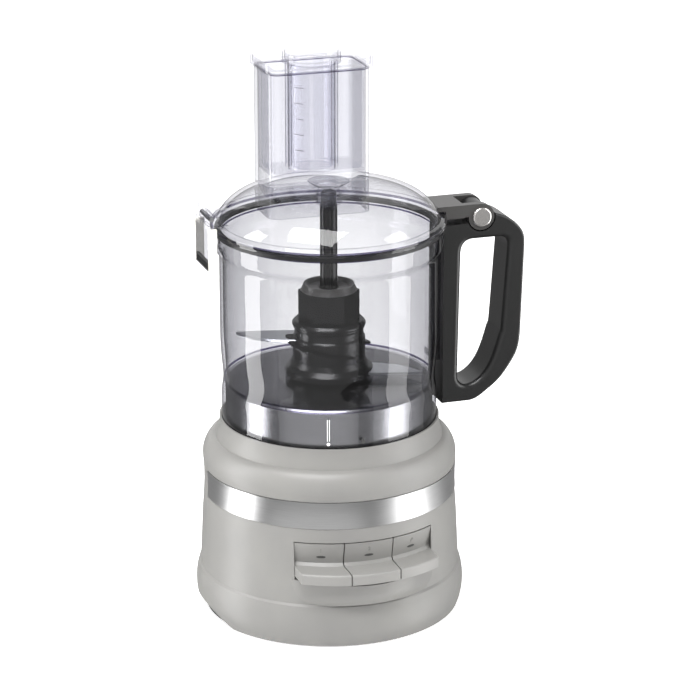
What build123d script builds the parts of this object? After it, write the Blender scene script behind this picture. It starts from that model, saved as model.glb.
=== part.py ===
"""Food processor with a round base, a clear lift-off bowl and a hinged lid.

Millimetres. The origin is on the floor under the bowl's axis: +Z is up, the
paddles face -Y, the handle and the lid hinge are at +X, the latch is at -X and
the feed tube rises behind the axis.
"""
from math import asin, cos, pi, radians, sin
import os

from build123d import *

# ---- driving dimensions -------------------------------------------------
GAP = 0.3                     # clearance between bodies that slide or part

BASE_R = 90.4                 # body of the base at mid height
FLARE_R = 94.0                # widest point of the foot flare
FLARE_TOP = 30.0              # where the flare steps back to the body
SHOULDER_R, SHOULDER_Z = 79.5, 125.0
NECK_R, NECK_Z = 76.8, 139.0  # rim of the neck that the bowl drops into
SEAT_Z = 134.5                # floor inside the neck
SEAT_R = 75.4
FLOOR_CLEARANCE = 1.0         # the shell stands this far above the floor
TRIM_Z0, TRIM_Z1 = 86.0, 105.0
TRIM_HALF_ANGLE = 91.0
ARCH_HALF_WIDTH, ARCH_HEIGHT = 39.0, 10.0

PADDLE_X = (-33.5, 0.0, 33.5)         # centre of each paddle
WINDOW_X, WINDOW_Z1 = 49.6, 76.0        # half width and top of the paddles' window
DIVIDER_X, DIVIDER_GAP = 17.5, 0.8
LIP_REACH = 15.0              # how far the lips stand out in front
LIP_Z0, LIP_Z1 = 51.2, 58.6
CHIN_TOP, CHIN_REACH = 48.8, 12.0
CHIN_HALF_ANGLE = 42.0        # the chin fades into the shell over this angle
PIVOT_Y, PIVOT_Z, PIVOT_R = -62.0, 70.0, 2.0

DRUM_R, DRUM_TOP = 71.8, 164.8
BOWL_R = 75.5                 # outer wall above the floor
BOWL_WALL = 2.4
SKIRT_R, SKIRT_Z = 74.9, 137.4
FLOOR_Z0, FLOOR_Z1 = 165.2, 167.4
COLLAR_R, COLLAR_Z = 78.3, 262.0
RIM_Z = 271.5
TUBE_R, TUBE_BORE, TUBE_TOP = 9.4, 7.2, 184.0

LID_R, LID_Z0, LID_RIM_Z = 81.2, 275.2, 279.2
DOME_R, DOME_Z, DOME_H = 79.56, 273.9, 29.1
LID_WALL = 2.4
FEED_X, FEED_Y, FEED_CORNER = 73.6, 44.0, 8.0
FEED_CENTRE_Y = 37.5
FEED_TOP, FEED_BOTTOM = 379.0, 277.0
PUSHER_BOTTOM, PUSHER_BORE_R = 306.0, 16.5
TRAY_TOP, CUP_TOP, CUP_R = 386.4, 389.0, 20.3

HANDLE_HALF = 15.0            # half the handle's thickness along Y
HINGE_X, HINGE_Z, HINGE_PIN_R = 106.5, 275.3, 3.0
LUG_R, KNUCKLE_R, KNUCKLE_HALF = 9.4, 8.4, 8.7
ARM_TOP = HINGE_Z + LUG_R

LATCH_X, LATCH_Z, LATCH_PIN_R = -86.5, 289.5, 1.6
LATCH_X0, LATCH_X1, LATCH_HALF = -90.3, -84.4, 17.0

SPINDLE_R, SPINDLE_TOP = 5.0, 206.0
STEM_R, STEM_TOP = 6.0, 299.5
SLEEVE_R, SLEEVE_TOP = 13.4, 212.0
HUB_BOTTOM, HUB_SPLIT, HUB_TOP = 168.2, 229.0, 233.7
BLADE_THICKNESS, BLADE_REACH = 1.6, 65.5

MOTOR_Y, MOTOR_R, MOTOR_SHAFT_R = 46.0, 32.0, 4.0
MOTOR_PULLEY_R, SPINDLE_PULLEY_R = 8.0, 30.0
PULLEY_Z0, PULLEY_Z1 = 9.0, 23.0
BELT_THICKNESS = 1.6
CHASSIS_Z0, CHASSIS_Z1 = 26.0, 30.0
RUNNING = 0.05                # radial clearance of a shaft in its bearing
SCREW_RADIUS = 77.0           # circle of the four base screws
SCREW_ANGLES = (45, 135, 225, 315)
CORD_Z, CORD_BORE_R = 19.5, 3.6


# ---- helpers ------------------------------------------------------------
def outline(*points):
    """A closed polygon in the XZ plane, as (x, z) pairs."""
    return Plane.XZ * make_face(Polyline(*points, close=True))


def turned(*points, angle=360.0):
    """A polygon of (radius, z) pairs turned about the bowl's axis."""
    return revolve(outline(*points), Axis.Z, angle)


def ring(inner, outer, z0, z1):
    """A flat ring, or a disc when the inner radius is zero."""
    return turned((inner, z0), (outer, z0), (outer, z1), (inner, z1))


def sector(azimuth0, azimuth1, inner, outer, z0, z1):
    """A piece of a ring between two azimuths, counted from the front (-Y)."""
    piece = turned((inner, z0), (outer, z0), (outer, z1), (inner, z1),
                   angle=azimuth1 - azimuth0)
    return Rot(0, 0, azimuth0 - 90) * piece


def block(x0, x1, y0, y1, z0, z1):
    """A box between two corners."""
    centre = Pos((x0 + x1) / 2, (y0 + y1) / 2, (z0 + z1) / 2)
    return centre * Box(x1 - x0, y1 - y0, z1 - z0)


def rod_z(radius, z0, z1, x=0.0, y=0.0):
    """A round bar along Z."""
    return Pos(x, y, (z0 + z1) / 2) * Cylinder(radius, z1 - z0)


def rod_x(radius, x0, x1, y, z):
    """A round bar along X."""
    return Pos((x0 + x1) / 2, y, z) * Rot(0, 90, 0) * Cylinder(radius, x1 - x0)


def rod_y(radius, y0, y1, x, z):
    """A round bar along Y."""
    return Pos(x, (y0 + y1) / 2, z) * Rot(90, 0, 0) * Cylinder(radius, y1 - y0)


def at_angles(make, angles):
    """Copies of one solid turned about the bowl's axis."""
    return [Rot(0, 0, a) * make for a in angles]


# ---- base: shell and trim -----------------------------------------------
def body_curve():
    """The side of the base from the foot flare up to the shoulder's crown."""
    side = Spline((91.4, FLARE_TOP + 1.5), (BASE_R, 50), (89.4, 70), (88.3, 86),
                  (88.0, 97), (88.8, 110))
    shoulder = Spline((88.8, 110), (87.7, 117.5), (84.9, 122.3),
                      (SHOULDER_R, SHOULDER_Z),
                      tangents=((0.06, 1), (-1, 0.12)))
    return side, shoulder


def shell_face():
    """Half section of the base shell, with the bowl seat as its roof."""
    side, shoulder = body_curve()
    flare = ThreePointArc((91.6, FLOOR_CLEARANCE), (FLARE_R, 10), (92.6, FLARE_TOP))
    step = Line((92.6, FLARE_TOP), (91.4, FLARE_TOP + 1.5))
    neck = ThreePointArc((SHOULDER_R, SHOULDER_Z), (77.5, 131), (NECK_R, NECK_Z))
    inside = Polyline(
        (NECK_R, NECK_Z), (SEAT_R, NECK_Z), (SEAT_R, SEAT_Z), (12.3, SEAT_Z),
        (12.3, SEAT_Z - 3), (73.0, SEAT_Z - 3), (75.2, 124), (81.5, 119.5),
        (85.6, 110), (85.2, 97), (85.4, 86), (87.0, 60), (88.4, 33),
        (90.2, 22), (90.2, 8), (89.0, FLOOR_CLEARANCE), (91.6, FLOOR_CLEARANCE))
    return Plane.XZ * make_face([flare, step, side, shoulder, neck, inside])


def chin_section(z, reach, base_r):
    """Closed outline of the bulge under the paddles at one height."""
    def radius(a):
        fade = min(abs(a) / CHIN_HALF_ANGLE, 1.0)
        return base_r + reach * (1 + cos(pi * fade)) / 2 * cos(radians(a))

    angles = (-50, -44, -38, -34, -30, -26, -22, -12, 0,
              12, 22, 26, 30, 34, 38, 44, 50)
    front = [(radius(a) * sin(radians(a)), -radius(a) * cos(radians(a)))
             for a in angles]
    edge = Spline(*front)
    return Pos(0, 0, z) * make_face([edge, Line(front[-1], front[0])])


def chin(inset):
    """The bulge that carries the paddles' lips, or its hollow when inset."""
    levels = ((29.0, -1.5), (31.0, 4.0), (34.0, 8.6), (39.0, 11.6),
              (CHIN_TOP, CHIN_REACH))
    sections = [chin_section(z, reach, BASE_R - 0.5 - inset) for z, reach in levels]
    solid = loft(sections)
    return Pos(0, 0, -inset) * solid if inset else solid


def finger_arches():
    """Cutters for the two shallow arches in the bottom edge."""
    radius = (ARCH_HALF_WIDTH**2 + ARCH_HEIGHT**2) / (2 * ARCH_HEIGHT)
    z = FLOOR_CLEARANCE + ARCH_HEIGHT - radius
    return [rod_x(radius, 80, 100, 0, z), rod_x(radius, -100, -80, 0, z)]


def base_housing():
    shell = revolve(shell_face(), Axis.Z)
    room = ring(0, 86.5, 33, SEAT_Z - 15) & block(-60, 60, -90, -40, 33, 100)
    shell += chin(0) - (chin(2.6) + room)
    shell -= chin(2.6) & block(-60, 60, -110, -60, 31.5, CHIN_TOP - 2.6)
    shell -= block(-WINDOW_X, WINDOW_X, -120, -60, CHIN_TOP, WINDOW_Z1)
    shell -= sector(-TRIM_HALF_ANGLE - 0.2, TRIM_HALF_ANGLE + 0.2, 87.3, 99,
                    TRIM_Z0 - 0.2, TRIM_Z1 + 0.2)
    for arch in finger_arches():
        shell -= arch
    post = rod_z(5, CHASSIS_Z1, 50, SCREW_RADIUS)
    post += block(SCREW_RADIUS, 88.0, -2, 2, CHASSIS_Z1 + 4, 50)
    post -= rod_z(1.6, CHASSIS_Z1, 46, SCREW_RADIUS)
    for solid in at_angles(post, SCREW_ANGLES):
        shell += solid
    shell -= rod_y(6, 80, 99, 0, CORD_Z)
    return shell - rod_y(8, 92.4, 99, 0, CORD_Z)


def trim_band():
    face = Plane.XZ * make_face([
        Spline((88.7, TRIM_Z0), (88.4, 95.5), (88.9, TRIM_Z1)),
        Polyline((88.9, TRIM_Z1), (87.3, TRIM_Z1), (87.3, TRIM_Z0), (88.7, TRIM_Z0))])
    band = revolve(face, Axis.Z, 2 * TRIM_HALF_ANGLE)
    return Rot(0, 0, -TRIM_HALF_ANGLE - 90) * band


# ---- base: floor --------------------------------------------------------
def base_plate():
    z = FLOOR_CLEARANCE
    plate = turned((0, z), (88.2, z), (88.2, 12), (86.0, 12), (86.0, z + 2.5),
                   (0, z + 2.5))
    plate -= ring(57.8, 66.2, 0, z + 1.2)
    for solid in at_angles(rod_z(5, z, CHASSIS_Z0, SCREW_RADIUS), SCREW_ANGLES):
        plate += solid
    for solid in at_angles(rod_z(1.9, 0, CHASSIS_Z1, SCREW_RADIUS)
                           + rod_z(3.4, 0, z + 4, SCREW_RADIUS), SCREW_ANGLES):
        plate -= solid
    for row in range(-3, 4):
        plate -= block(-18, 18, row * 7 - 1.5 + MOTOR_Y / 4, row * 7 + 1.5 + MOTOR_Y / 4,
                       0, 5)
    return plate


def anti_slip_ring():
    return ring(58, 66, 0, FLOOR_CLEARANCE + 1.2)


def base_screws():
    screw = rod_z(1.6, FLOOR_CLEARANCE + 4, 44, SCREW_RADIUS)
    screw += rod_z(3.0, FLOOR_CLEARANCE + 2.2, FLOOR_CLEARANCE + 4, SCREW_RADIUS)
    screw -= Pos(SCREW_RADIUS, 0, FLOOR_CLEARANCE + 2.5) * Box(4, 0.8, 1.4)
    return Compound(children=at_angles(screw, SCREW_ANGLES))


def cord_gland():
    gland = rod_y(5.9, 85, 95, 0, CORD_Z) + rod_y(7.8, 92.4, 95, 0, CORD_Z)
    gland += rod_y(7.0, 85, 88, 0, CORD_Z)
    return gland - rod_y(CORD_BORE_R, 80, 99, 0, CORD_Z)


# ---- base: chassis and drive --------------------------------------------
def chassis_plate():
    plate = ring(9.6, 84, CHASSIS_Z0, CHASSIS_Z1)
    plate -= rod_z(9, 0, 60, 0, MOTOR_Y)
    for solid in at_angles(rod_z(1.9, 0, 60, SCREW_RADIUS), SCREW_ANGLES):
        plate -= solid
    for solid in motor_screw_places(rod_z(1.5, 0, 60)):
        plate -= solid
    return plate


def motor_screw_places(solid):
    """Copies of one solid on the motor's four fixing points."""
    reach = 26.0 * cos(pi / 4)
    return [Pos(x, MOTOR_Y + y, 0) * solid
            for x in (-reach, reach) for y in (-reach, reach)]


def spindle_housing():
    """Bearing tower on the chassis, through the seat and up into the drum."""
    return turned((SPINDLE_R + 0.8, CHASSIS_Z1 + 7), (9.5, CHASSIS_Z1 + 7),
                  (9.5, CHASSIS_Z0), (9.6, CHASSIS_Z0), (9.6, CHASSIS_Z1),
                  (13.5, CHASSIS_Z1), (13.5, CHASSIS_Z1 + 3), (12, CHASSIS_Z1 + 5),
                  (12, 162), (9.5, 162), (9.5, 155), (SPINDLE_R + 0.8, 155))


def spindle_bearings():
    lower = ring(SPINDLE_R + RUNNING, 9.5, CHASSIS_Z1, CHASSIS_Z1 + 7)
    upper = ring(SPINDLE_R + RUNNING, 9.5, 155, 162)
    return Compound(children=[lower, upper])


def shaft_seal():
    return turned((SPINDLE_R + RUNNING, 162), (11, 162), (11, 163.4), (8.4, 163.4),
                  (8.4, DRUM_TOP), (SPINDLE_R + RUNNING, DRUM_TOP))


def bowl_seat_drum():
    """Bright metal drum that the bowl's skirt drops over."""
    r, top = DRUM_R, DRUM_TOP
    return turned((r, SEAT_Z), (r, top - 2), (r - 2, top), (8.5, top),
                  (8.5, top - 1.3), (r - 2.4, top - 1.3), (r - 1.3, top - 2.4),
                  (r - 1.3, SEAT_Z))


def output_spindle():
    shaft = rod_z(SPINDLE_R, 7, 186)
    tip = Pos(0, 0, (186 + SPINDLE_TOP) / 2) * Box(7, 7, SPINDLE_TOP - 186)
    return shaft + chamfer(tip.edges().group_by(Axis.Z)[-1], 0.8)


def pulley(radius, bore, teeth_depth=0.7):
    """Poly-V pulley with a flange at each end and six grooves."""
    z0, z1 = PULLEY_Z0, PULLEY_Z1
    points = [(bore, z0), (radius + 1.5, z0), (radius + 1.5, z0 + 1)]
    pitch = (z1 - z0 - 2.4) / 6
    for k in range(6):
        z = z0 + 1.2 + k * pitch
        points += [(radius, z), (radius - teeth_depth, z + pitch / 2)]
    points += [(radius, z1 - 1.2), (radius + 1.5, z1 - 1), (radius + 1.5, z1), (bore, z1)]
    return turned(*points)


def driven_pulley():
    wheel = pulley(SPINDLE_PULLEY_R, SPINDLE_R)
    return wheel - ring(9, 26, PULLEY_Z0 + 5, PULLEY_Z1 + 1)


def motor_pulley():
    return Pos(0, MOTOR_Y, 0) * pulley(MOTOR_PULLEY_R, MOTOR_SHAFT_R)


def belt_outline(grow):
    """Area inside a belt that runs `grow` outside both pulleys."""
    big, small = SPINDLE_PULLEY_R + grow, MOTOR_PULLEY_R + grow
    tilt = asin((big - small) / MOTOR_Y)
    side = [(big * cos(tilt), big * sin(tilt)),
            (small * cos(tilt), MOTOR_Y + small * sin(tilt))]
    mirrored = [(-x, y) for x, y in reversed(side)]
    between = make_face(Polyline(*side, *mirrored, close=True))
    return Circle(big) + Pos(0, MOTOR_Y) * Circle(small) + between


def drive_belt():
    face = belt_outline(GAP + BELT_THICKNESS) - belt_outline(GAP)
    return Pos(0, 0, PULLEY_Z0 + 1.6) * extrude(face, PULLEY_Z1 - PULLEY_Z0 - 3.2)


def motor_stator():
    can = turned((MOTOR_R, 36), (MOTOR_R, 96), (29, 96), (29, 88), (19, 86),
                 (19, 48), (29, 46), (29, 36))
    return Pos(0, MOTOR_Y, 0) * can


def motor_brackets():
    lower = turned((6, CHASSIS_Z1), (9, CHASSIS_Z1), (9, CHASSIS_Z1 + 0.8),
                   (MOTOR_R, CHASSIS_Z1 + 0.8), (MOTOR_R, 36), (8, 36), (8, 31), (6, 31))
    lower += ring(22, MOTOR_R, CHASSIS_Z1, CHASSIS_Z1 + 0.8)
    upper = turned((8, 96), (MOTOR_R, 96), (MOTOR_R, 98.5), (12, 98.5), (12, 102),
                   (5, 102), (5, 101), (8, 101))
    lower, upper = (Pos(0, MOTOR_Y, 0) * s for s in (lower, upper))
    for solid in motor_screw_places(rod_z(1.5, 20, 34)):
        lower -= solid
    return Compound(children=[lower, upper])


def motor_bearings():
    inner = MOTOR_SHAFT_R + RUNNING
    lower, upper = ring(inner, 8, 31, 36), ring(inner, 8, 96, 101)
    return Compound(children=[Pos(0, MOTOR_Y, 0) * s for s in (lower, upper)])


def motor_screws():
    screw = rod_z(1.5, CHASSIS_Z0, 34) + rod_z(2.6, CHASSIS_Z0 - 1.6, CHASSIS_Z0)
    return Compound(children=motor_screw_places(screw))


def motor_armature():
    shaft = rod_z(MOTOR_SHAFT_R, 8, 100.5)
    core = ring(MOTOR_SHAFT_R, 18, 50, 82)
    for k in range(12):
        core -= Rot(0, 0, 30 * k) * block(12, 19, -0.9, 0.9, 49, 83)
    commutator = ring(MOTOR_SHAFT_R, 10, 85, 94)
    return Pos(0, MOTOR_Y, 0) * (shaft + core + commutator)


def cooling_fan():
    fan = ring(MOTOR_SHAFT_R, 9, 37.5, 45) + ring(9, 27, 37.5, 38.7)
    for k in range(9):
        fan += Rot(0, 0, 40 * k) * Pos(17.5, 0, 41.5) * Rot(0, 0, 20) * Box(18, 1.2, 6)
    return Pos(0, MOTOR_Y, 0) * fan


# ---- base: controls -----------------------------------------------------
def paddle(index):
    """One speed paddle: face, lip, two arms with a pivot eye, switch finger."""
    x0 = (-WINDOW_X, -DIVIDER_X, DIVIDER_X)[index]
    x1 = (-DIVIDER_X, DIVIDER_X, WINDOW_X)[index]
    half_gap = DIVIDER_GAP / 2
    cut = block(x0 + half_gap, x1 - half_gap, -130, -40, 40, 90)
    face = turned((84.0, LIP_Z0), (88.2, LIP_Z0), (88.2, LIP_Z1 - 0.2), (86.3, 60.6),
                  (86.6, 63), (89.2, WINDOW_Z1 - 0.7), (84.0, WINDOW_Z1 - 0.7))
    lip = Pos(0, -LIP_REACH, 0) * rod_z(BASE_R, LIP_Z0, LIP_Z1)
    lip = fillet(lip.edges().group_by(Axis.Z)[-1], 1.6)
    lip -= rod_z(84.0, LIP_Z0 - 1, LIP_Z1 + 1)
    solid = (face + (lip & block(-60, 60, -120, -60, 50, 60))) & cut
    centre = PADDLE_X[index]
    bore = rod_x(PIVOT_R + RUNNING, -60, 60, PIVOT_Y, PIVOT_Z)
    for side in (-10.0, 10.0):
        x = centre + side
        arm = block(x - 1.5, x + 1.5, -88, PIVOT_Y, PIVOT_Z - 3, PIVOT_Z + 3)
        solid += (arm & ring(0, 85, 60, 80)) + rod_x(4.2, x - 1.5, x + 1.5, PIVOT_Y, PIVOT_Z)
    finger = block(centre - 3.5, centre + 3.5, -88, -58.6, 52.0, 55.0)
    return solid + (finger & ring(0, 85, 50, 60)) - bore


def paddle_pivot_rod():
    return rod_x(PIVOT_R, -52.4, 52.4, PIVOT_Y, PIVOT_Z)


def switch_carrier():
    """Back plate, shelf and four ears that hold the pivot rod."""
    carrier = block(-46, 46, -50, -47, 40, 80) + block(-52.4, 52.4, -50, -47, 52, 80)
    carrier += block(-44, 44, -70, -47, 40, 42.5)
    for x in (-51.2, -17.5, 17.5, 51.2):
        carrier += block(x - 1.2, x + 1.2, -66, -49, 64, 76)
    return carrier - rod_x(PIVOT_R, -60, 60, PIVOT_Y, PIVOT_Z)


def paddle_switches():
    """Three small snap switches, one behind each paddle's finger."""
    switch = block(-5, 5, -56.6, -50, 46, 58) + block(-1, 1, -57.6, -56.5, 52.5, 54.5)
    return Compound(children=[Pos(x, 0, 0) * switch for x in PADDLE_X])


def paddle_spring(index):
    """Return spring between the carrier's shelf and the paddle's finger."""
    wire, coil, z0, z1 = 0.4, 2.6, 42.5, 52.0
    path = Helix(pitch=2.9, height=z1 - z0 - 2 * wire, radius=coil)
    start = Plane(origin=path @ 0, z_dir=path % 0)
    return Pos(PADDLE_X[index], -66, z0 + wire) * sweep(start * Circle(wire), path)


def control_board():
    board = block(-36, 36, -45.6, -44, 50, 104)
    for x in (-30.0, 30.0):
        board += rod_y(2.2, -47, -45.6, x, 72)
    parts = (block(-30, -12, -44, -32, 86, 100), block(-4, 8, -44, -34, 84, 100),
             block(16, 32, -44, -36, 60, 76), rod_y(5, -44, -30, 22, 92))
    for part in parts:
        board += part
    return board


def interlock_switch():
    """Switch under the seat that feels whether the bowl is home."""
    return Rot(0, 0, 150) * block(56, 70, -5, 5, 121.5, SEAT_Z - 3)


# ---- bowl and handle ----------------------------------------------------
def bowl():
    wall = BOWL_WALL
    outer = [Line((SKIRT_R, SKIRT_Z), (SKIRT_R, 156)),
             Spline((SKIRT_R, 156), (73.8, FLOOR_Z0 + 1), (74.2, 176), (BOWL_R, 205),
                    tangents=((0, 1), (0, 1))),
             Line((BOWL_R, 205), (BOWL_R, 254)),
             Spline((BOWL_R, 254), (76.6, 258), (COLLAR_R, COLLAR_Z),
                    tangents=((0, 1), (0, 1)))]
    inner = Spline((COLLAR_R - wall, COLLAR_Z), (74.3, 258), (BOWL_R - wall, 254),
                   tangents=((0, -1), (0, -1)))
    lower = [Line((BOWL_R - wall, 254), (BOWL_R - wall, 205)),
             Spline((BOWL_R - wall, 205), (71.8, 176), (68.0, FLOOR_Z1),
                    tangents=((0, -1), (-1, -0.2)))]
    close = Polyline((COLLAR_R, COLLAR_Z), (COLLAR_R, RIM_Z), (COLLAR_R - wall, RIM_Z),
                     (COLLAR_R - wall, COLLAR_Z))
    tube = Polyline((68.0, FLOOR_Z1), (TUBE_R, FLOOR_Z1), (TUBE_R, TUBE_TOP),
                    (TUBE_BORE, TUBE_TOP), (TUBE_BORE, FLOOR_Z0), (72.3, FLOOR_Z0),
                    (72.3, SKIRT_Z), (SKIRT_R, SKIRT_Z))
    shape = revolve(Plane.XZ * make_face([*outer, close, inner, *lower, tube]), Axis.Z)
    solid_core = ring(0, 74.3, 150, RIM_Z)
    rail = block(70, 79.0, -9, 9, 172, 250)
    shape += rail - solid_core
    lug = block(-82.6, -70, -8, 8, 267.6, 270.6)
    return shape + (lug - ring(0, 76.5, 260, RIM_Z))


def handle_outer():
    """Side view of the handle's outside, clockwise from the post's foot."""
    return [
        Line((79.0, 141.2), (98.0, 141.2)),
        Spline((98.0, 141.2), (110.3, 146.2), (121.6, 155.1), (130.3, 166.5),
               (137.2, 191.6), tangents=((1, 0), (1.9, 58.4))),
        Line((137.2, 191.6), (139.1, 250.0)),
        Spline((139.1, 250.0), (137.6, 262.0), (128.1, 272.1), (115.5, 277.6),
               tangents=((1.9, 58.4), (-1, 0.35))),
        Line((115.5, 277.6), (96.0, 271.2)),
        Line((96.0, 271.2), (79.0, 271.2)),
        Line((79.0, 271.2), (79.0, 141.2))]


def handle_inner():
    """Side view of the finger opening."""
    return [
        Spline((97.0, 153.2), (105.2, 155.9), (115.4, 169.0), (121.8, 188.0),
               (124.3, 211.0), tangents=((1, 0), (2.6, 39.0))),
        Line((124.3, 211.0), (126.9, 250.0)),
        Spline((126.9, 250.0), (125.6, 257.2), (120.0, 259.4),
               tangents=((2.6, 39.0), (-1, 0))),
        Line((120.0, 259.4), (101.4, 259.4)),
        Spline((101.4, 259.4), (94.5, 256.8), (92.1, 248.0),
               tangents=((-1, 0), (-1.4, -86.0))),
        Line((92.1, 248.0), (90.7, 162.0)),
        Spline((90.7, 162.0), (92.2, 155.6), (97.0, 153.2),
               tangents=((-1.4, -86.0), (1, 0)))]


def handle():
    half = HANDLE_HALF
    body = Pos(0, half, 0) * extrude(Plane.XZ * make_face(handle_outer()), 2 * half)
    outer_edges = body.edges().filter_by(Plane.XZ)
    body = fillet(outer_edges.filter_by(lambda e: e.center().X > 108), 1.5)
    opening = Pos(0, half, 0) * extrude(Plane.XZ * make_face(handle_inner()), 2 * half)
    body -= opening
    inner_edges = [e for e in body.edges().filter_by(Plane.XZ)
                   if 89 < e.center().X < 129 and 152 < e.center().Z < 260]
    body = fillet(inner_edges, 3.5)
    body += rod_y(KNUCKLE_R, -KNUCKLE_HALF, KNUCKLE_HALF, HINGE_X, HINGE_Z)
    for y0, y1 in ((-half - 1, -KNUCKLE_HALF), (KNUCKLE_HALF, half + 1)):
        body -= rod_y(LUG_R + 1.0, y0, y1, HINGE_X, HINGE_Z)
    body -= rod_y(HINGE_PIN_R + RUNNING, -half, half, HINGE_X, HINGE_Z)
    for z in (182.0, 240.0):
        body -= rod_x(1.6, 70, 95, 0, z) + rod_x(3.4, 86, 95, 0, z)
    return body


def handle_screws():
    screws = [rod_x(1.6, 79, 86, 0, z) + rod_x(3.2, 86, 88, 0, z) for z in (182.0, 240.0)]
    return Compound(children=screws)


# ---- blade assembly -----------------------------------------------------
def drive_adapter():
    """Sleeve over the bowl's tube, square socket and fluted stem."""
    body = turned((10, 168.6), (SLEEVE_R, 168.6), (SLEEVE_R, SLEEVE_TOP), (0, SLEEVE_TOP),
                  (0, 187), (10, 187))
    body -= Pos(0, 0, 197) * Box(7.6, 7.6, 20.4)
    for a in (0, 180):
        body += Rot(0, 0, a) * block(12.5, 15.2, -1.5, 1.5, 169, 205)
    stem = rod_z(STEM_R, SLEEVE_TOP, STEM_TOP - 9.5)
    for k in range(8):
        stem -= Rot(0, 0, 45 * k) * rod_z(1.0, SLEEVE_TOP, STEM_TOP - 12, STEM_R + 0.2)
    tip = turned((0, STEM_TOP - 9.5), (5.4, STEM_TOP - 9.5), (5.4, STEM_TOP - 1),
                 (4.4, STEM_TOP), (0, STEM_TOP))
    return body + stem + tip


def blade(z, azimuth):
    """Swept flat blade; its tip points along the given angle from +X."""
    tip = BLADE_REACH
    straight = Spline((15.5, -10.5), (42.0, -7.0), (tip, -1.0))
    nose = Line((tip, -1.0), (tip - 1.0, 1.2))
    curved = Spline((tip - 1.0, 1.2), (50.0, 11.0), (33.0, 14.5), (15.5, 12.0))
    root = Line((15.5, 12.0), (15.5, -10.5))
    face = make_face([straight, nose, curved, root])
    solid = Pos(0, 0, z) * extrude(face, BLADE_THICKNESS)
    return Rot(0, 0, azimuth) * (solid - ring(0, 16.4, z - 1, z + 3))


def lower_blade():
    return blade(171.0, -27.0)


def upper_blade():
    return blade(193.6, 155.0)


def blade_hub():
    hub = turned(
        (13.8, HUB_BOTTOM), (28.5, HUB_BOTTOM), (30.5, 169.6), (30.5, 173.4),
        (27.2, 176.5), (25.2, 180), (25.2, 195.6), (24.0, 197), (24.0, 201.6),
        (24.9, 203), (24.9, 206.6), (23.6, 208), (18.2, 208), (18.2, HUB_SPLIT),
        (6.9, HUB_SPLIT), (6.9, SLEEVE_TOP + 0.6), (13.8, SLEEVE_TOP + 0.6))
    facets = Pos(0, 0, 208) * extrude(RegularPolygon(21.2, 6), HUB_SPLIT - 208)
    hub += Rot(0, 0, -18) * facets - ring(0, 17, 207, 230)
    for a in (0, 180):
        hub -= Rot(0, 0, a) * block(10, 15.6, -1.9, 1.9, 160, 206)
    return hub - lower_blade() - upper_blade()


def hub_cap():
    return turned((6.9, HUB_SPLIT), (19.6, HUB_SPLIT), (18.3, 231.5), (17.5, HUB_TOP),
                  (15.9, HUB_TOP), (13.4, 231.4), (6.9, 230.8))


# ---- lid ----------------------------------------------------------------
def dome_curve(wall):
    """Domed profile from just above the rim to the centre."""
    points = []
    for a in (20, 30, 40, 50, 60, 70, 78, 84):
        r = (DOME_R - wall) * cos(radians(a)) ** 0.409
        points.append((r, DOME_Z + (DOME_H - wall) * sin(radians(a)) ** 1.409))
    return Spline(*points, (0, DOME_Z + DOME_H - wall))


def feed_outline(grow):
    """Plan of the feed tube, grown outwards or inwards."""
    shape = RectangleRounded(FEED_X + 2 * grow, FEED_Y + 2 * grow, FEED_CORNER + grow)
    return Pos(0, FEED_CENTRE_Y) * shape


def feed_prism(grow, z0, z1):
    return Pos(0, 0, z0) * extrude(feed_outline(grow), z1 - z0)


def dome_solid(wall):
    """Everything under the dome's outer or inner surface."""
    curve = dome_curve(wall)
    edge, top = curve @ 0, curve @ 1
    base = Polyline((top.X, top.Y), (0, 270), (edge.X, 270), (edge.X, edge.Y))
    return revolve(Plane.XZ * make_face([curve, base]), Axis.Z)


def lid():
    rim = turned((73.4, LID_Z0), (LID_R, LID_Z0), (LID_R + 0.2, 277), (LID_R, LID_RIM_Z),
                 (LID_R - 1.6, 280.6), (76.5, 281.2), (73.4, 279))
    shape = dome_solid(0) - ring(0, 90, 260, LID_Z0)
    for y in (-9.9, 9.9):
        ear = block(LATCH_X, -60, y - 2.1, y + 2.1, LATCH_Z - 5, LATCH_Z + 6.5)
        ear += rod_y(5, y - 2.1, y + 2.1, LATCH_X, LATCH_Z)
        ear += block(LATCH_X - 3, LATCH_X, y - 2.1, y + 2.1, LATCH_Z, LATCH_Z + 6.5)
        shape += ear
    shape += block(60, 93.2, -13, 13, 271.9, LID_Z0 + 0.3) - ring(0, 79, 260, LID_Z0)
    socket = turned((0, 291), (9, 291), (9, 303), (14.5, 306.5), (0, 306.5))
    shape += feed_prism(0, 290, FEED_TOP)
    shape -= dome_solid(LID_WALL) - ring(73.4, 90, 260, 279.5)
    shape += rim
    shape += feed_prism(0, FEED_BOTTOM, 303) & dome_solid(0.5)
    shape += socket
    shape -= feed_prism(-LID_WALL, 260, 400)
    shape -= rod_z(7.7, 280, STEM_TOP + 1.2)
    for x in (84.0, 90.0):
        shape -= rod_z(1.4, 270, 280, x)
    return shape - rod_y(LATCH_PIN_R, -14, 14, LATCH_X, LATCH_Z)


def lid_seal():
    return ring(74.6, 78.5, RIM_Z + GAP, LID_Z0)


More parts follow.
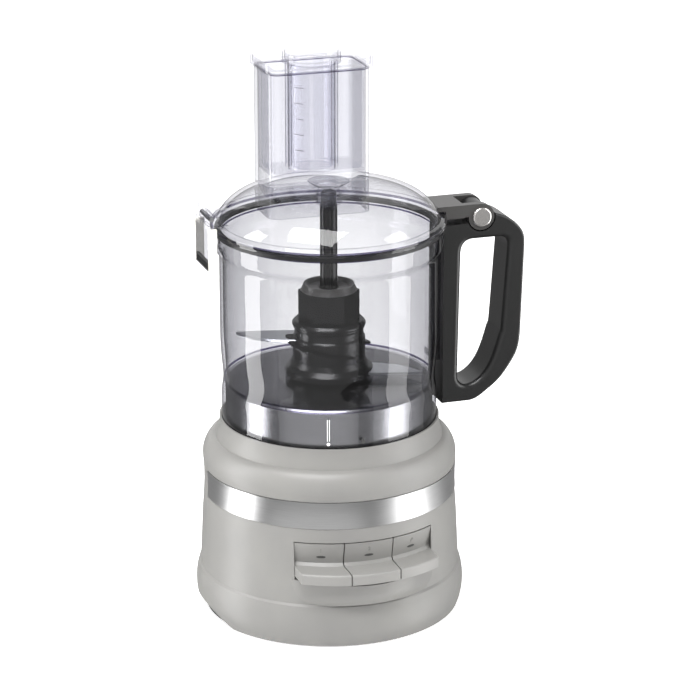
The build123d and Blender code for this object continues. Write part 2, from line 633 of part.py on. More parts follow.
def hinge_arm():
    """Grey arm: a plate on the lid's edge that ends in a fork with two eyes."""
    half, z0 = HANDLE_HALF, LID_Z0 + 0.3
    arm = block(70, 94, -half, half, z0, ARM_TOP)
    for y0, y1 in ((-half, -KNUCKLE_HALF - 0.5), (KNUCKLE_HALF + 0.5, half)):
        arm += block(93, HINGE_X, y0, y1, z0 + 0.6, HINGE_Z + LUG_R)
        arm += rod_y(LUG_R, y0, y1, HINGE_X, HINGE_Z)
    arm -= dome_solid(-0.1) + ring(0, LID_R + 0.3, 270, 281.4)
    for x in (84.0, 90.0):
        arm -= rod_z(1.4, 270, 283, x)
    return arm - rod_y(HINGE_PIN_R, -20, 20, HINGE_X, HINGE_Z)


def arm_screws():
    return Compound(children=[rod_z(1.4, 272.4, 283, x) for x in (84.0, 90.0)])


def hinge_pin():
    """Steel pin through the fork and the handle's knuckle."""
    half = HANDLE_HALF
    return rod_y(HINGE_PIN_R, -half, half, HINGE_X, HINGE_Z)


def hinge_caps():
    """Bright round caps on the two ends of the hinge pin."""
    disc = rod_z(7.0, 0, 2.0)
    cap = fillet(disc.edges().group_by(Axis.Z)[-1], 1.3)
    rear = Pos(HINGE_X, HANDLE_HALF, HINGE_Z) * Rot(-90, 0, 0) * cap
    front = Pos(HINGE_X, -HANDLE_HALF, HINGE_Z) * Rot(90, 0, 0) * cap
    return Compound(children=[front, rear])


# ---- latch --------------------------------------------------------------
def latch():
    """Clear side clip that hangs from the lid's ears over the bowl's lug."""
    x0, x1, half = LATCH_X0, LATCH_X1, LATCH_HALF - 1.6
    body = block(x0, x1, -half, half, 254, LATCH_Z - 6.6)
    body += block(x0 + 0.8, x1 - 0.4, -7.2, 7.2, LATCH_Z - 8, LATCH_Z)
    body += rod_y(3.7, -7.2, 7.2, LATCH_X, LATCH_Z)
    body += block(x1 - 1, -83.2, -7, 7, 263.4, 266.8)
    body -= block(x0 - 1, x0 + 2.0, -half + 1, half - 1, 254.8, 260.6)
    return body - rod_y(LATCH_PIN_R + RUNNING, -14, 14, LATCH_X, LATCH_Z)


def latch_cheeks():
    """Cream side plates of the latch."""
    plates = [block(LATCH_X0, LATCH_X1, y - 0.8, y + 0.8, 254, LATCH_Z - 5.4)
              for y in (0.8 - LATCH_HALF, LATCH_HALF - 0.8)]
    return Compound(children=plates)


def latch_grip():
    """Dark ribbed strip let into the latch's outer face."""
    half = LATCH_HALF - 2.6
    grip = block(LATCH_X0, LATCH_X0 + 2.0, -half, half, 254.8, 260.6)
    for k in range(9):
        grip -= block(-93, LATCH_X0 + 0.5, 3 * k - 12.8, 3 * k - 11.2, 255.6, 259.8)
    return grip


def latch_pin():
    return rod_y(LATCH_PIN_R, -12, 12, LATCH_X, LATCH_Z)


# ---- pushers ------------------------------------------------------------
def large_pusher():
    """Open cup that fills the feed tube, with a tray rim and a round bore."""
    z0, wall, top = PUSHER_BOTTOM, 2.0, FEED_TOP + GAP
    fit = -LID_WALL - 0.6
    body = feed_prism(fit, z0, top + 2) - feed_prism(fit - wall, z0 + wall, 400)
    tray = feed_prism(2.5, top, TRAY_TOP) - feed_prism(1.0, top + 2, 400)
    body += tray - feed_prism(fit - wall, 300, 400)
    post = rod_z(PUSHER_BORE_R + 1.8, z0, top + 2, 0, FEED_CENTRE_Y)
    return body + post - rod_z(PUSHER_BORE_R, 290, 400, 0, FEED_CENTRE_Y)


def small_pusher():
    """Clear measuring cup that slides in the large pusher."""
    z0, top = PUSHER_BOTTOM, FEED_TOP + GAP + 2 + GAP
    outer = PUSHER_BORE_R - 0.5
    body = rod_z(outer, z0, top + 1) + rod_z(CUP_R, top, CUP_TOP)
    body -= rod_z(outer - 1.8, z0 + 2, 400) + rod_z(CUP_R - 1.8, top + 2, 400)
    return Pos(0, FEED_CENTRE_Y, 0) * body


NODES = {
    "base_housing": base_housing, "trim_band": trim_band, "base_plate": base_plate,
    "anti_slip_ring": anti_slip_ring, "base_screws": base_screws,
    "cord_gland": cord_gland, "chassis_plate": chassis_plate,
    "spindle_housing": spindle_housing, "spindle_bearings": spindle_bearings,
    "shaft_seal": shaft_seal, "bowl_seat_drum": bowl_seat_drum,
    "output_spindle": output_spindle, "driven_pulley": driven_pulley,
    "motor_pulley": motor_pulley, "drive_belt": drive_belt,
    "motor_stator": motor_stator, "motor_brackets": motor_brackets,
    "motor_bearings": motor_bearings, "motor_screws": motor_screws,
    "motor_armature": motor_armature, "cooling_fan": cooling_fan,
    "paddle_pivot_rod": paddle_pivot_rod, "switch_carrier": switch_carrier,
    "paddle_switches": paddle_switches, "control_board": control_board,
    "interlock_switch": interlock_switch, "bowl": bowl, "handle": handle,
    "handle_screws": handle_screws, "drive_adapter": drive_adapter,
    "lower_blade": lower_blade, "upper_blade": upper_blade, "blade_hub": blade_hub,
    "hub_cap": hub_cap, "lid": lid, "lid_seal": lid_seal, "hinge_arm": hinge_arm,
    "arm_screws": arm_screws, "hinge_pin": hinge_pin, "hinge_caps": hinge_caps,
    "latch": latch, "latch_cheeks": latch_cheeks, "latch_grip": latch_grip, "latch_pin": latch_pin,
    "large_pusher": large_pusher, "small_pusher": small_pusher,
}


def main():
    os.makedirs("parts", exist_ok=True)
    for name, make in NODES.items():
        export_step(make(), f"parts/{name}.step")
    for index, name in enumerate(("low", "high", "pulse")):
        export_step(paddle(index), f"parts/paddle_{name}.step")
        export_step(paddle_spring(index), f"parts/spring_{name}.step")


main()
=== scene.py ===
# %% [markdown]
# # A food processor, from CAD model to studio picture
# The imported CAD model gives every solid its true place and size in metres. This
# lesson leaves those solids where they are, gives each one the finish of the
# plastic, steel or rubber it is really made of, and models the small details that
# CAD leaves out: printed marks, the hub's ledge, ground blade edges, windings.

# %% Load the frame
from math import cos, pi, radians, sin

import bpy
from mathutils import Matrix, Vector


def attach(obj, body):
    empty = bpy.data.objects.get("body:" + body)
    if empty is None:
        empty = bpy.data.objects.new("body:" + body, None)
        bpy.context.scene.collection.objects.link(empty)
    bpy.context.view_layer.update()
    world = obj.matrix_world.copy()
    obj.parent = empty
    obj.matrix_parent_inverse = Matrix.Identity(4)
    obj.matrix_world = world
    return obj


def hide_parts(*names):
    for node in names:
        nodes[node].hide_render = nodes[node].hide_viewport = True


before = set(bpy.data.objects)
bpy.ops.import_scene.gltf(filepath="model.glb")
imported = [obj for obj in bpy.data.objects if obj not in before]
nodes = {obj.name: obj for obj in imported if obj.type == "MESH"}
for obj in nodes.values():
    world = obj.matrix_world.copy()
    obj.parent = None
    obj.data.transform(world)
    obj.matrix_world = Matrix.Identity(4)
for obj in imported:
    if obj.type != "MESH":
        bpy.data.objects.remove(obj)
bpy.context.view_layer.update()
bpy.ops.object.select_all(action="DESELECT")

# %% [markdown]
# ## Colours and nodes
# Paint charts and screens give colours in sRGB, but light adds up in linear
# numbers, so one function turns a hex code to linear. One more adds a node, sets
# its options and joins its inputs, which keeps every recipe to a few lines.

# %% Two helpers for materials
def linear(code):
    """Linear RGBA of an sRGB hex colour such as '#9c9c99'."""
    parts = [int(code[i:i + 2], 16) / 255 for i in (1, 3, 5)]
    return (*[p / 12.92 if p <= 0.04045 else ((p + 0.055) / 1.055) ** 2.4
              for p in parts], 1.0)


def add(tree, kind, inputs=None, stops=(), **options):
    """Adds one node. An input is a value, or the output socket that feeds it.
    Stops are the (position, hex colour) pairs of a colour ramp."""
    made = tree.nodes.new("ShaderNode" + kind)
    for name, value in options.items():
        setattr(made, name, value)
    for name, value in (inputs or {}).items():
        if isinstance(value, bpy.types.NodeSocket):
            tree.links.new(value, made.inputs[name])
        else:
            made.inputs[name].default_value = value
    if stops:
        ramp = made.color_ramp.elements
        while len(ramp) < len(stops):
            ramp.new(0.5)
        for element, (place, code) in zip(ramp, stops):
            element.position, element.color = place, linear(code)
    return made

# %% [markdown]
# Every recipe here starts from an empty tree, draws most of its marks with noise
# whose size is given in metres, and, where it is opaque, ends in the same way: a
# colour, a gloss and a relief go into one Principled shader.

# %% Start, grain and end of a recipe
def start(name):
    """A new material with its tree empty but for the output."""
    made = bpy.data.materials.new(name)
    made.use_nodes = True
    tree = made.node_tree
    tree.nodes.clear()
    return made, tree, tree.nodes.new("ShaderNodeOutputMaterial")


def grain(tree, size, stretch=(1, 1, 1), detail=2.0):
    """Marks about `size` metres across, longest where stretch is smallest."""
    where = add(tree, "TexCoord").outputs["Object"]
    mapped = add(tree, "Mapping", {"Vector": where, "Scale": stretch})
    return add(tree, "TexNoise", {"Vector": mapped.outputs[0], "Scale": 1 / size,
                                  "Detail": detail}).outputs["Fac"]


def surface(tree, output, color, rough, height, depth, metallic=0.0):
    """Ends an opaque recipe; color, rough and height come from its pattern nodes
    and depth is that of the relief, in metres."""
    bump = add(tree, "Bump", {"Height": height, "Distance": depth, "Strength": 1.0})
    shader = add(tree, "BsdfPrincipled", {
        "Base Color": color.outputs["Color"], "Roughness": rough,
        "Metallic": metallic, "Normal": bump.outputs[0]})
    tree.links.new(shader.outputs[0], output.inputs["Surface"])


def wear(material, *names):
    """Gives CAD nodes this one material."""
    for name in names:
        nodes[name].data.materials.clear()
        nodes[name].data.materials.append(material)
    print(material.name, "on", ", ".join(names))

# %% [markdown]
# ## Moulded plastics
# The shell is ABS, injection moulded in a steel tool whose face was spark eroded
# to a fine satin grain. A grain of about 0.35 mm breaks the highlight up, and a
# wide, weak cloud keeps the colour from being dead flat.

# %% Spark-grained ABS for the shell and the paddles
def moulded(name, dark, light, rough, depth=0.00002):
    """Opaque moulded plastic: a cloudy colour and a fine grain of that depth."""
    made, tree, output = start(name)
    cloud = grain(tree, 0.035, detail=3.0)
    skin = grain(tree, 0.00035)
    color = add(tree, "ValToRGB", {"Fac": cloud}, stops=((0.3, dark), (0.7, light)))
    gloss = add(tree, "MapRange", {"Value": skin, "To Min": rough - 0.06,
                                   "To Max": rough + 0.06})
    surface(tree, output, color, gloss.outputs[0], skin, depth)
    return made


shell_abs = moulded("grey_abs_spark_grained", "#7c7b79", "#81807d", 0.42)
# The paddles are the shell's own grey plastic, made a little lighter here: painted light on
# their faces.
paddle_abs_painted_light = moulded("grey_abs_paddle_painted_light", "#82817f", "#878683", 0.38)
wear(shell_abs, "base_housing")
wear(paddle_abs_painted_light, "paddle_low", "paddle_high", "paddle_pulse")

# %% [markdown]
# The handle is dark ABS with a satin face, the hub is the same family of plastic
# polished in the tool to a gloss, and the hinge arm and hub cap are a warm grey.
# Inside the base everything is matt black nylon, which nobody polishes. The two
# side plates of the clear latch are painted a light cream: a painted highlight for
# the bright, lit side wall of the latch.

# %% Other plastics
satin_black = moulded("black_abs_satin", "#161616", "#1a1a1a", 0.32)
gloss_black = moulded("black_abs_polished", "#0b0b0c", "#101011", 0.24, depth=0.000004)
warm_grey = moulded("grey_abs_satin", "#383736", "#3d3c3b", 0.34)
hidden_black = moulded("black_nylon_matt", "#161617", "#1b1b1d", 0.5)
# Light cream on the latch's side plates: a painted highlight where the clear latch's side wall
# catches the light.
latch_side_painted_highlight = moulded("cream_painted_highlight_gloss", "#dedcd4", "#e6e4dc", 0.25, depth=0.000005)
wear(satin_black, "handle", "drive_adapter", "latch_grip")
wear(gloss_black, "blade_hub")
wear(warm_grey, "hinge_arm", "hub_cap")
wear(latch_side_painted_highlight, "latch_cheeks")
wear(hidden_black, "base_plate", "switch_carrier", "paddle_switches",
     "interlock_switch", "cord_gland", "cooling_fan")

# %% [markdown]
# ## Clear plastic
# Bowl, lid and pushers are a clear copolyester. Walls 2 to 3 mm thick are seen
# through almost straight, so each face here passes light with a faint tint, which
# turns violet grey where the wall is seen edge on. The mirrored share grows from
# 3.6 percent face on to all of it at grazing angles, with the fifth power of
# facing, close to the rule for an index of 1.5. A face seen from inside the
# plastic mirrors nothing, so that one wall doesn't count twice.

# %% Clear copolyester
def clear(name, faced, sloped, edge):
    """See-through plastic: tint from face-on to edge-on, and a Fresnel mirror."""
    made, tree, output = start(name)
    facing = add(tree, "LayerWeight", {"Blend": 0.5}).outputs["Facing"]
    steep = add(tree, "Math", {0: facing, 1: 5.0}, operation="POWER").outputs[0]
    outer = add(tree, "NewGeometry").outputs["Backfacing"]
    growing = add(tree, "MapRange", {"Value": steep, "To Min": 0.036, "To Max": 1.0})
    share = add(tree, "MapRange", {"Value": outer, "To Min": growing.outputs[0],
                                   "To Max": 0.0}).outputs[0]
    ripple = add(tree, "Bump", {"Height": grain(tree, 0.03, detail=1.0),
                                "Distance": 0.00025, "Strength": 1.0})
    tint = add(tree, "ValToRGB", {"Fac": facing},
               stops=((0.0, faced), (0.72, sloped), (0.98, edge)))
    through = add(tree, "BsdfTransparent", {"Color": tint.outputs["Color"]})
    mirror = add(tree, "BsdfGlossy", {"Color": (1, 1, 1, 1), "Roughness": 0.02,
                                      "Normal": ripple.outputs[0]})
    mixed = add(tree, "MixShader", {0: share, 1: through.outputs[0],
                                    2: mirror.outputs[0]})
    tree.links.new(mixed.outputs[0], output.inputs["Surface"])
    return made


bowl_clear = clear("clear_copolyester_bowl", "#ececed", "#d9d9db", "#817f88")
lid_clear = clear("clear_copolyester_lid", "#f7f7f8", "#e8e8ea", "#8b8794")
pusher_clear = clear("clear_copolyester_pusher", "#fcfcfd", "#f7f7f9", "#aaa7b2")
wear(bowl_clear, "bowl")
wear(lid_clear, "lid", "latch")
wear(pusher_clear, "large_pusher", "small_pusher")

# %% [markdown]
# ## Metals
# Metal mirrors its surroundings in its own colour, so its look is all in how it
# was finished. The band and the drum were brushed or drawn round the axis, which
# leaves hair lines along the turn: the noise is squeezed along Z and long in X, Y.

# %% Brushed, turned, ground and polished metal
def metal(name, dark, light, rough, size, stretch=(1, 1, 1), depth=0.000004):
    """Bare metal whose marks are `size` metres apart along the squeezed axis."""
    made, tree, output = start(name)
    lines = grain(tree, size, stretch, detail=3.0)
    color = add(tree, "ValToRGB", {"Fac": lines}, stops=((0.3, dark), (0.7, light)))
    gloss = add(tree, "MapRange", {"Value": lines, "To Min": rough - 0.05,
                                   "To Max": rough + 0.05})
    surface(tree, output, color, gloss.outputs[0], lines, depth, metallic=1.0)
    return made


ROUND_Z = (0.02, 0.02, 1.0)    # lines that run round the Z axis
satin_chrome = metal("satin_chrome_band", "#bcbcbc", "#c6c6c6", 0.32, 0.0003, ROUND_Z)
bright_drum = metal("drawn_bright_steel_drum", "#c8c8ca", "#d8d8da", 0.25, 0.0005, ROUND_Z)
ground_blade = metal("ground_stainless_blade", "#b9bbc0", "#cfd1d5", 0.3, 0.0004, (1, 0.05, 1))
turned_steel = metal("turned_steel_shaft", "#b2b2b5", "#c6c6c9", 0.26, 0.0003, ROUND_Z)
zinc_screw = metal("zinc_plated_screw", "#a8aaad", "#bcbec2", 0.34, 0.0005)
polished_cap = metal("polished_nickel_cap", "#dad7d4", "#e6e3e0", 0.24, 0.0006)
ball_race = metal("ground_bearing_race", "#b0b2b6", "#c8cacd", 0.16, 0.0004, ROUND_Z)
cast_chassis = metal("die_cast_aluminium", "#93959a", "#a6a8ad", 0.48, 0.0012, depth=0.00003)
wear(satin_chrome, "trim_band")
wear(bright_drum, "bowl_seat_drum")
wear(ground_blade, "lower_blade", "upper_blade")
wear(turned_steel, "output_spindle", "paddle_pivot_rod", "latch_pin", "hinge_pin",
     "spring_low", "spring_high", "spring_pulse")
wear(zinc_screw, "base_screws", "motor_screws", "handle_screws", "arm_screws")
wear(polished_cap, "hinge_caps")
wear(ball_race, "spindle_bearings", "motor_bearings")
wear(cast_chassis, "chassis_plate", "spindle_housing", "motor_brackets",
     "driven_pulley", "motor_pulley")

# %% [markdown]
# The motor's iron is a stack of stamped sheets 0.5 mm thick. Their edges show as
# fine level stripes, which are drawn 1.6 mm apart so that they read. A Wave node
# fits one wave into pi / 10 of its own units, and so its scale is that over the
# distance between stripes. Belt, foot ring and seals are rubber, dulled by bloom.
# The control board is glass cloth under green lacquer, with copper tracks.

# %% Laminated iron, rubber and circuit board
def stripes(tree, apart, distortion=0.0):
    """Level stripes, one every `apart` metres up Z."""
    where = add(tree, "TexCoord").outputs["Object"]
    return add(tree, "TexWave", {"Vector": where, "Scale": pi / 10 / apart,
                                 "Distortion": distortion},
               bands_direction="Z").outputs["Fac"]


def laminated(name):
    """A stack of dark sheet edges."""
    made, tree, output = start(name)
    sheets = stripes(tree, 0.0016)
    color = add(tree, "ValToRGB", {"Fac": sheets},
                stops=((0.2, "#2c2c2f"), (0.8, "#55555a")))
    gloss = add(tree, "MapRange", {"Value": sheets, "To Min": 0.38, "To Max": 0.55})
    surface(tree, output, color, gloss.outputs[0], sheets, 0.00005, metallic=0.9)
    return made


def rubbery(name, dark, light, rough):
    """Moulded rubber with a faint bloom on it."""
    made, tree, output = start(name)
    bloom = grain(tree, 0.004, detail=4.0)
    color = add(tree, "ValToRGB", {"Fac": bloom}, stops=((0.35, dark), (0.75, light)))
    gloss = add(tree, "MapRange", {"Value": bloom, "To Min": rough - 0.08,
                                   "To Max": rough + 0.08})
    surface(tree, output, color, gloss.outputs[0], grain(tree, 0.0006), 0.00003)
    return made


def circuit_board(name):
    """Green lacquer over tracks laid out like brickwork."""
    made, tree, output = start(name)
    where = add(tree, "TexCoord").outputs["Object"]
    upright = add(tree, "Mapping", {"Vector": where, "Rotation": (pi / 2, 0, 0)})
    tracks = add(tree, "TexBrick", {
        "Vector": upright.outputs[0], "Color1": (0, 0, 0, 1),
        "Color2": (0.2, 0.2, 0.2, 1), "Mortar": (1, 1, 1, 1),
        "Scale": 180, "Mortar Size": 0.03}).outputs["Color"]
    color = add(tree, "ValToRGB", {"Fac": tracks},
                stops=((0.1, "#0f4f26"), (0.9, "#4c8a4a")))
    surface(tree, output, color, 0.35, tracks, 0.00004)
    return made


iron = laminated("laminated_motor_iron")
soft_rubber = rubbery("black_epdm_rubber", "#1c1c1d", "#272728", 0.7)
seal_silicone = rubbery("black_silicone_seal", "#111113", "#1a1a1c", 0.45)
board_green = circuit_board("solder_masked_board")
wear(iron, "motor_stator", "motor_armature")
wear(soft_rubber, "anti_slip_ring", "drive_belt", "shaft_seal")
wear(seal_silicone, "lid_seal")
wear(board_green, "control_board")

# %% [markdown]
# ## Small pieces
# Each small piece starts as a primitive, is shaped in edit mode and then settled:
# its place goes into its mesh, its soft edges are shaded smooth, and it is tied to
# the body it moves with. Its first move is always to deselect everything else.

# %% Settle a finished piece
def alone(piece):
    """Makes one piece the only selected and the active one."""
    bpy.ops.object.select_all(action="DESELECT")
    piece.select_set(True)
    bpy.context.view_layer.objects.active = piece


def settle(piece, name, body, material):
    """Names, smooths, colours and ties one finished piece."""
    alone(piece)
    bpy.ops.object.transform_apply(location=True, rotation=True, scale=True)
    piece.name = piece.data.name = name
    bpy.ops.object.mode_set(mode="EDIT")
    bpy.ops.mesh.select_all(action="SELECT")
    bpy.ops.mesh.normals_make_consistent(inside=False)
    bpy.ops.object.mode_set(mode="OBJECT")
    bpy.ops.object.shade_smooth_by_angle(angle=radians(35))
    piece.data.materials.clear()
    piece.data.materials.append(material)
    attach(piece, body)
    print(name, len(piece.data.polygons), "faces on", body)


def thicken(depth):
    """Extrudes all of the active flat piece along its own normal."""
    bpy.ops.object.mode_set(mode="EDIT")
    bpy.ops.mesh.select_all(action="SELECT")
    bpy.ops.mesh.extrude_region_shrink_fatten(
        TRANSFORM_OT_shrink_fatten={"value": depth})
    bpy.ops.object.mode_set(mode="OBJECT")

# %% [markdown]
# ### Marks on the paddles
# Each paddle carries a small moulded oval recess and a printed figure above it. The
# oval is drawn as a dark patch: painted shade for the hollow of the recess. The face
# leans out by 12 degrees, so the marks are turned by 90 + 12 about X and then to
# the paddle's own azimuth. They stand a little proud of it, as thick ink does.

# %% Inks
# The dark colour is real print on the padlock mark; on the paddles it is painted shade inside
# each oval recess.
dark_ink_and_recess_shade = moulded("dark_print_and_painted_recess_shade", "#3a3a3a", "#444443", 0.45, depth=0.000005)
white_ink = moulded("white_pad_printed_ink", "#e6e6e6", "#efefef", 0.4, depth=0.000005)
pale_ink = moulded("grey_pad_printed_ink", "#6f6f6d", "#777775", 0.45, depth=0.000005)

# %% Ovals and figures
def on_ring(radius, azimuth, height):
    """A point on a ring round the axis; azimuth from the front towards +X."""
    return (radius * sin(azimuth), -radius * cos(azimuth), height)


LEAN = radians(102)
for figure, x, paddle in (("1", -0.0335, "low"), ("2", 0.0, "high"),
                          ("P", 0.0335, "pulse")):
    azimuth = x / 0.088
    bpy.ops.mesh.primitive_circle_add(
        vertices=32, radius=0.001, fill_type="NGON", rotation=(LEAN, 0, azimuth),
        location=on_ring(0.08722, azimuth, 0.0652))
    oval = bpy.context.object
    oval.scale = (3.2, 0.9, 1)
    bpy.ops.object.transform_apply(location=False, rotation=False, scale=True)
    thicken(-0.0003)
    settle(oval, f"oval_recess_painted_shade_{paddle}", f"{paddle}_paddle", dark_ink_and_recess_shade)
    bpy.ops.object.text_add(rotation=(LEAN, 0, azimuth),
                            location=on_ring(0.08795, azimuth, 0.0688))
    glyph = bpy.context.object
    glyph.data.body, glyph.data.size, glyph.data.align_x = figure, 0.0042, "CENTER"
    glyph.data.extrude = 0.0001
    alone(glyph)
    bpy.ops.object.convert(target="MESH")
    settle(bpy.context.object, f"figure_{paddle}", f"{paddle}_paddle",
           pale_ink)

# %% [markdown]
# ### Alignment marks on the bowl
# A pair of white lines with a dot shows where the bowl drops into the base, and a
# small padlock shows which way it locks. They are printed on the clear skirt.

# %% Twin lines, dot and padlock
SKIRT_FACE = 0.07493    # radius that prints lie at, on the skirt's outer wall
ALIGN_AZIMUTH = radians(-18.4)


def printed_bar(name, azimuth, radius, low_z, high_z, width):
    """A narrow printed stripe that stands upright on a round wall."""
    bpy.ops.mesh.primitive_plane_add(size=1, rotation=(pi / 2, 0, azimuth),
                                     location=on_ring(radius, azimuth, (low_z + high_z) / 2))
    bar = bpy.context.object
    bar.scale = (width, high_z - low_z, 1)
    bpy.ops.object.transform_apply(location=False, rotation=False, scale=True)
    thicken(-0.0001)
    bpy.ops.object.mode_set(mode="EDIT")
    bpy.ops.mesh.bevel(affect="EDGES", offset=0.00003, segments=1)
    bpy.ops.object.mode_set(mode="OBJECT")
    settle(bar, name, "bowl", white_ink)


for side, shift in (("left", -0.0007), ("right", 0.0007)):
    printed_bar(f"align_line_{side}", ALIGN_AZIMUTH + shift / 0.075, SKIRT_FACE,
                0.1445, 0.1600, 0.0005)
bpy.ops.mesh.primitive_circle_add(vertices=32, radius=0.0012, fill_type="NGON",
                                  rotation=(pi / 2, 0, ALIGN_AZIMUTH),
                                  location=on_ring(SKIRT_FACE, ALIGN_AZIMUTH, 0.1424))
thicken(-0.0001)
settle(bpy.context.object, "align_dot", "bowl", white_ink)

bpy.ops.mesh.primitive_plane_add(size=0.0024, rotation=(pi / 2, 0, 0),
                                 location=on_ring(SKIRT_FACE, 0, 0.1430))
padlock = bpy.context.object
thicken(-0.0001)
bpy.ops.mesh.primitive_torus_add(major_radius=0.0009, minor_radius=0.0002,
                                 major_segments=24, minor_segments=8,
                                 rotation=(pi / 2, 0, 0),
                                 location=on_ring(0.07495, 0, 0.1444))
bow = bpy.context.object
alone(bow)
padlock.select_set(True)
bpy.context.view_layer.objects.active = padlock
bpy.ops.object.join()
settle(padlock, "padlock_mark", "bowl", dark_ink_and_recess_shade)

# %% [markdown]
# ### Thick edges of the clear parts
# Looked at along its edge, the clear plastic is 10 mm deep and more instead of 2,
# and its faint tint adds up to violet grey. The deepest places are the corner under
# the bowl's floor, the skirt's foot, the lid's rim and the mouth of the feed tube.
# Each gets a thin bead of the same plastic, tinted as deep as it looks, that lies
# inside the wall.

# %% Edge beads
edge_clear = clear("clear_copolyester_edge", "#b5b2c4", "#9d99b2", "#75708c")
for name, body, radius, height, thick in (
        ("bowl_floor_bead", "bowl", 0.0728, 0.1664, 0.0008),
        ("bowl_foot_bead", "bowl", 0.0739, 0.1382, 0.0006),
        ("bowl_rim_bead", "bowl", 0.0742, 0.2705, 0.0006),
        ("lid_rim_bead", "lid", 0.0800, 0.2772, 0.0009)):
    bpy.ops.mesh.primitive_torus_add(major_radius=radius, minor_radius=thick,
                                     major_segments=128, minor_segments=10,
                                     location=(0, 0, height))
    settle(bpy.context.object, name, body, edge_clear)

# %% [markdown]
# The mouth of the tube is a rounded rectangle: a plane with its corners bevelled,
# kept as an outline only, turned into a curve and given the bead's thickness.

# %% Bead round the mouth of the feed tube
TUBE_Y = 0.0375    # the feed tube and its pushers stand behind the bowl's axis
bpy.ops.mesh.primitive_plane_add(size=1, location=(0, TUBE_Y, 0.3781))
bead = bpy.context.object
bead.scale = (0.0712, 0.0416, 1)
bpy.ops.object.transform_apply(location=False, rotation=False, scale=True)
bpy.ops.object.mode_set(mode="EDIT")
bpy.ops.mesh.select_all(action="SELECT")
bpy.ops.mesh.bevel(affect="VERTICES", offset=0.0068, segments=8)
bpy.ops.mesh.delete(type="ONLY_FACE")
bpy.ops.object.mode_set(mode="OBJECT")
alone(bead)
bpy.ops.object.convert(target="CURVE")
bpy.context.object.data.bevel_depth = 0.0004
bpy.ops.object.convert(target="MESH")
settle(bpy.context.object, "tube_mouth_bead", "lid", edge_clear)

# %% [markdown]
# ### Ledge round the hub
# A ledge winds down the front of the hub and carries food up from the lower blade.
# It is one oval section swept 130 degrees by a Screw modifier that also drops it
# 10 mm; the open ends are then filled.

# %% Helical ledge
def ledge(name, radius, start_angle, sweep, top, drop, reach, depth):
    """A ridge of oval section, reach by depth, wound round the hub from the top."""
    bpy.ops.mesh.primitive_circle_add(vertices=14, radius=1, rotation=(pi / 2, 0, 0))
    made = bpy.context.object
    made.scale = (reach, depth, depth)
    bpy.ops.object.transform_apply(location=False, rotation=True, scale=True)
    made.location = (radius, 0, 0)
    bpy.ops.object.transform_apply(location=True, rotation=False, scale=False)
    screw = made.modifiers.new("wind", "SCREW")
    screw.axis, screw.angle, screw.screw_offset = "Z", radians(sweep), -drop
    screw.steps = screw.render_steps = 56
    bpy.ops.object.modifier_apply(modifier=screw.name)
    bpy.ops.object.mode_set(mode="EDIT")
    bpy.ops.mesh.select_all(action="SELECT")
    bpy.ops.mesh.remove_doubles(threshold=0.00001)
    bpy.ops.mesh.fill_holes(sides=0)
    bpy.ops.object.mode_set(mode="OBJECT")
    made.rotation_euler = (0, 0, radians(start_angle))
    made.location = (0, 0, top)
    settle(made, name, "blades", gloss_black)


ledge("hub_ledge_front", 0.0262, 162, 130, 0.1955, 0.0101, 0.0042, 0.0011)
ledge("hub_ledge_back", 0.0258, 342, 120, 0.1900, 0.0095, 0.0034, 0.0011)
ledge("hub_collar_bead", 0.0240, 0, 360, 0.2052, 0.0, 0.0016, 0.0016)

# %% [markdown]
# ### Ground edges on the blades
# A blade is stamped flat, then ground along its curved side to a bright bevel. The
# packed blade is copied, its loose triangles are merged back to flat faces, and
# the top edges on the curved side get a one-step bevel.

# %% Bevelled blades
def ground_edge(node, top, tip_angle):
    """A copy of one blade, bevelled along its curved side, replaces the node."""
    source = nodes[node]
    alone(source)
    bpy.ops.object.duplicate()
    blade = bpy.context.object
    bpy.ops.object.mode_set(mode="EDIT")
    bpy.ops.mesh.select_all(action="SELECT")
    bpy.ops.mesh.remove_doubles(threshold=0.00001)
    bpy.ops.mesh.dissolve_limited(angle_limit=radians(1))
    bpy.ops.mesh.select_all(action="DESELECT")
    bpy.ops.object.mode_set(mode="OBJECT")
    across = Vector((-sin(tip_angle), cos(tip_angle), 0))
    along = Vector((cos(tip_angle), sin(tip_angle), 0))
    count = 0
    for edge in blade.data.edges:
        a, b = (blade.data.vertices[i].co for i in edge.vertices)
        middle = (a + b) / 2
        if (abs(a.z - top) < 1e-4 and abs(b.z - top) < 1e-4
                and middle.dot(across) > 0.0012 and middle.dot(along) > 0.019
                and middle.xy.length > 0.0175):
            edge.select = True
            count += 1
    bpy.ops.object.mode_set(mode="EDIT")
    bpy.ops.mesh.bevel(affect="EDGES", offset=0.0013, segments=1)
    bpy.ops.object.mode_set(mode="OBJECT")
    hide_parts(node)
    settle(blade, node + "_ground", "blades", ground_blade)
    print(count, "edges ground")


ground_edge("lower_blade", 0.1726, radians(-27))
ground_edge("upper_blade", 0.1952, radians(155))

# %% [markdown]
# ### Copper winding
# The stator's field winding shows above the iron as a thick roll of enamelled wire.
# A torus is flattened and lobed into four poles; the strands show 1.4 mm apart.

